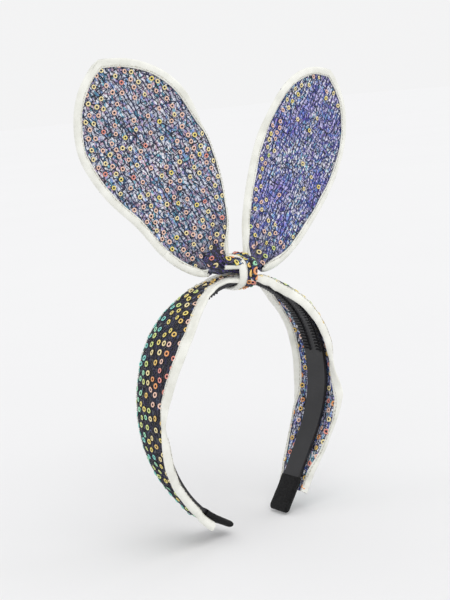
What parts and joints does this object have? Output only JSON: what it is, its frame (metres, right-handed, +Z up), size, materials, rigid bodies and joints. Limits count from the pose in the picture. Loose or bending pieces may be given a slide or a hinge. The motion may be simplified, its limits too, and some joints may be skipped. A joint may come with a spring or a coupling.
{
  "type": "animal ears headband",
  "caption": "Alice band with a sequinned net cover, satin bound edges and a knot that holds two wired, bendable animal ears.",
  "frame": {"origin": "middle of the hoop's inner face, where it rests on top of the head", "axes": "+Z up towards the ears, X across the hoop, -Y towards the front"},
  "size_m": [0.1878, 0.0394, 0.2668],
  "materials": {
    "hoop_plastic": "moulded, satin",
    "sleeve_felt": "felt",
    "sequin_net": "sheer iridescent backing under a dark net with ring sequins",
    "satin_binding": "satin",
    "wire": "drawn"
  },
  "bodies": {
    "root": {"band_core": "hoop_plastic", "sleeve_left": "sleeve_felt", "sleeve_right": "sleeve_felt", "cover_net": "sequin_net", "cover_binding_front": "satin_binding", "cover_binding_rear": "satin_binding", "knot_wrap": "sequin_net", "knot_binding": "satin_binding", "knot_tail": "sequin_net", "neck_gather": "sequin_net", "neck_wires": "wire"},
    "ear_left": {"ear_left_net": "sequin_net", "ear_left_binding": "satin_binding", "ear_left_wire": "wire"},
    "ear_left_tip": {"ear_left_tip_net": "sequin_net", "ear_left_tip_binding": "satin_binding", "ear_left_tip_wire": "wire"},
    "ear_right": {"ear_right_net": "sequin_net", "ear_right_binding": "satin_binding", "ear_right_wire": "wire"},
    "ear_right_tip": {"ear_right_tip_net": "sequin_net", "ear_right_tip_binding": "satin_binding", "ear_right_tip_wire": "wire"}
  },
  "joints": [
    {"name": "ear_left_bend", "type": "hinge", "parent": "root", "child": "ear_left", "pos_m": [-0.01069, -0.00174, 0.01758], "axis": [0.8715, -0.1537, 0.4658], "range_deg": [-40, 60]},
    {"name": "ear_left_tip_bend", "type": "hinge", "parent": "ear_left", "child": "ear_left_tip", "pos_m": [-0.04109, 0.00286, 0.07598], "axis": [0.8715, -0.1537, 0.4658], "range_deg": [-50, 75]},
    {"name": "ear_right_bend", "type": "hinge", "parent": "root", "child": "ear_right", "pos_m": [0.01667, -0.00304, 0.01525], "axis": [0.7694, 0.1357, -0.6242], "range_deg": [-40, 60]},
    {"name": "ear_right_tip_bend", "type": "hinge", "parent": "ear_right", "child": "ear_right_tip", "pos_m": [0.05765, 0.00156, 0.06677], "axis": [0.7694, 0.1357, -0.6242], "range_deg": [-50, 75]}
  ]
}
